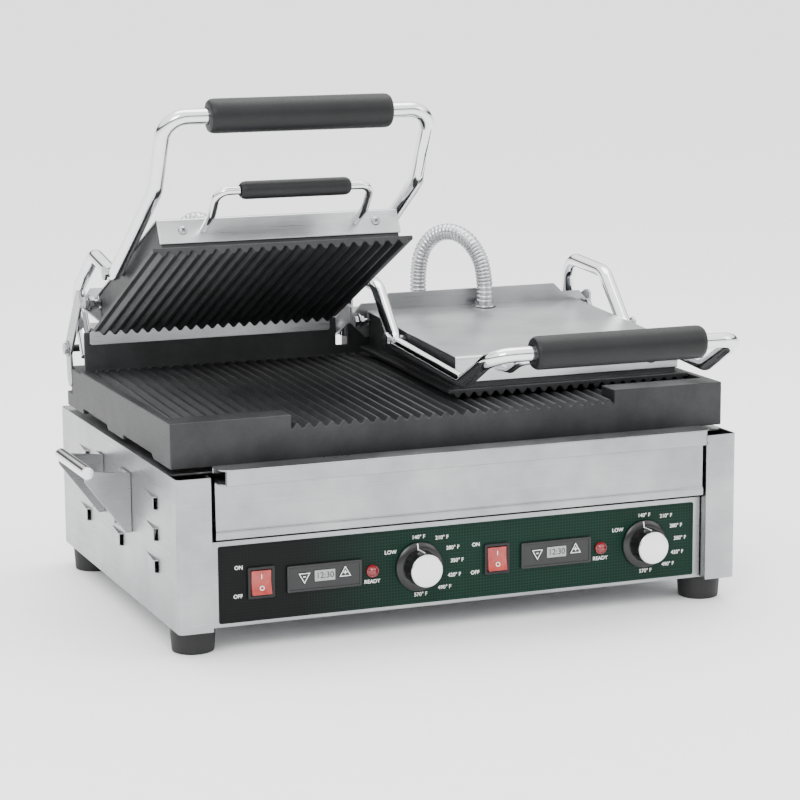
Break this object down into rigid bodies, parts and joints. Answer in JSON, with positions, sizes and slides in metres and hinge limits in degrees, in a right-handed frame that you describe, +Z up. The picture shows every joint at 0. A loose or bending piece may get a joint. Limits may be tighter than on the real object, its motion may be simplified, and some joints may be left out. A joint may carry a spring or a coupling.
{
  "type": "double_contact_grill",
  "caption": "Countertop double contact grill with ribbed cast-iron plates, the left lid standing open and the right lid shut, on a stainless housing with a drip drawer",
  "frame": {"origin": "centre of the overall box at the level the feet stand on", "axes": "X across the grill from its left to its right, Y from front to back, Z up"},
  "size_m": [0.6784, 0.4824, 0.514],
  "materials": {
    "stainless": "grained stainless sheet",
    "cast_iron": "seasoned cast iron",
    "chrome": "bright chrome plate",
    "zinc_plate": "zinc-plated steel",
    "grip_foam": "moulded phenolic hand grip",
    "black_plastic": "moulded black plastic",
    "overlay": "printed polycarbonate film",
    "red_lens": "translucent red lens",
    "aluminium": "turned aluminium cap",
    "rubber": "moulded rubber foot",
    "heater_steel": "sheathed heating rod",
    "ceramic": "glazed ceramic terminal block"
  },
  "bodies": {
    "base": {"housing_shell": "stainless", "base_pan": "stainless", "top_deck": "stainless", "lower_plate": "cast_iron", "control_panel": "stainless", "panel_overlay": "overlay", "cord_gland": "black_plastic", "terminal_block": "ceramic", "left_rear_strip": "stainless", "left_side_handle": "stainless", "left_lower_heater": "heater_steel", "left_front_foot": "rubber", "left_rear_foot": "rubber", "left_rocker_switch": "black_plastic", "left_timer": "black_plastic", "left_pilot_lamp": "red_lens", "left_thermostat": "zinc_plate", "right_rear_strip": "stainless", "right_side_handle": "stainless", "right_lower_heater": "heater_steel", "right_front_foot": "rubber", "right_rear_foot": "rubber", "right_rocker_switch": "black_plastic", "right_timer": "black_plastic", "right_pilot_lamp": "red_lens", "right_thermostat": "zinc_plate"},
    "drip_drawer": {"drip_tray": "stainless", "drip_tray_front": "stainless"},
    "left_lid": {"left_upper_plate": "cast_iron", "left_cover": "stainless", "left_hinge_yoke": "stainless", "left_upper_heater": "heater_steel", "left_lid_handle": "chrome", "left_lid_handle_grip": "grip_foam", "left_pivot_bolt_outer": "zinc_plate", "left_pivot_bolt_inner": "zinc_plate", "left_conduit": "zinc_plate"},
    "left_arm_frame": {"left_arm": "chrome", "left_grip": "grip_foam"},
    "left_dial": {"left_knob": "black_plastic", "left_knob_cap": "aluminium"},
    "left_rocker_key": {"left_rocker": "red_lens"},
    "left_minus_key": {"left_timer_minus": "black_plastic"},
    "left_plus_key": {"left_timer_plus": "black_plastic"},
    "right_lid": {"right_upper_plate": "cast_iron", "right_cover": "stainless", "right_hinge_yoke": "stainless", "right_upper_heater": "heater_steel", "right_lid_handle": "chrome", "right_lid_handle_grip": "grip_foam", "right_pivot_bolt_outer": "zinc_plate", "right_pivot_bolt_inner": "zinc_plate", "right_conduit": "zinc_plate"},
    "right_arm_frame": {"right_arm": "chrome", "right_grip": "grip_foam"},
    "right_dial": {"right_knob": "black_plastic", "right_knob_cap": "aluminium"},
    "right_rocker_key": {"right_rocker": "red_lens"},
    "right_minus_key": {"right_timer_minus": "black_plastic"},
    "right_plus_key": {"right_timer_plus": "black_plastic"}
  },
  "joints": [
    {"name": "drip_drawer_slide", "type": "slide", "parent": "base", "child": "drip_drawer", "axis": [0, -1, 0], "range_m": [0, 0.25]},
    {"name": "left_lid_hinge", "type": "hinge", "parent": "base", "child": "left_lid", "pos_m": [-0.14425, 0.205, 0.235], "axis": [-1, 0, 0], "range_deg": [-27.5, 0], "deforming": ["left_conduit"]},
    {"name": "left_arm_pivot", "type": "hinge", "parent": "left_lid", "child": "left_arm_frame", "pos_m": [-0.14425, 0.0538, 0.3322], "axis": [-1, 0, 0], "range_deg": [-9.3, 0]},
    {"name": "left_dial_turn", "type": "hinge", "parent": "base", "child": "left_dial", "pos_m": [-0.0473, -0.196, 0.065], "axis": [0, 1, 0], "range_deg": [-75, 195]},
    {"name": "left_rocker_tilt", "type": "hinge", "parent": "base", "child": "left_rocker_key", "pos_m": [-0.2067, -0.1884, 0.065], "axis": [1, 0, 0], "range_deg": [0, 12]},
    {"name": "left_minus_press", "type": "slide", "parent": "base", "child": "left_minus_key", "axis": [0, 1, 0], "range_m": [0, 0.0005], "stiffness_N_per_m": 400},
    {"name": "left_plus_press", "type": "slide", "parent": "base", "child": "left_plus_key", "axis": [0, 1, 0], "range_m": [0, 0.0005], "stiffness_N_per_m": 400},
    {"name": "right_lid_hinge", "type": "hinge", "parent": "base", "child": "right_lid", "pos_m": [0.14425, 0.205, 0.235], "axis": [-1, 0, 0], "range_deg": [0, 27.5], "deforming": ["right_conduit"]},
    {"name": "right_arm_pivot", "type": "hinge", "parent": "right_lid", "child": "right_arm_frame", "pos_m": [0.14425, 0.026, 0.2514], "axis": [-1, 0, 0], "range_deg": [0, 9.3]},
    {"name": "right_dial_turn", "type": "hinge", "parent": "base", "child": "right_dial", "pos_m": [0.1933, -0.196, 0.065], "axis": [0, 1, 0], "range_deg": [-75, 195]},
    {"name": "right_rocker_tilt", "type": "hinge", "parent": "base", "child": "right_rocker_key", "pos_m": [0.0339, -0.1884, 0.065], "axis": [1, 0, 0], "range_deg": [0, 12]},
    {"name": "right_minus_press", "type": "slide", "parent": "base", "child": "right_minus_key", "axis": [0, 1, 0], "range_m": [0, 0.0005], "stiffness_N_per_m": 400},
    {"name": "right_plus_press", "type": "slide", "parent": "base", "child": "right_plus_key", "axis": [0, 1, 0], "range_m": [0, 0.0005], "stiffness_N_per_m": 400}
  ],
  "couplings": [
    {"joint": "left_arm_pivot", "follows": "left_lid_hinge", "ratio": 0.33455},
    {"joint": "right_arm_pivot", "follows": "right_lid_hinge", "ratio": 0.33455}
  ]
}
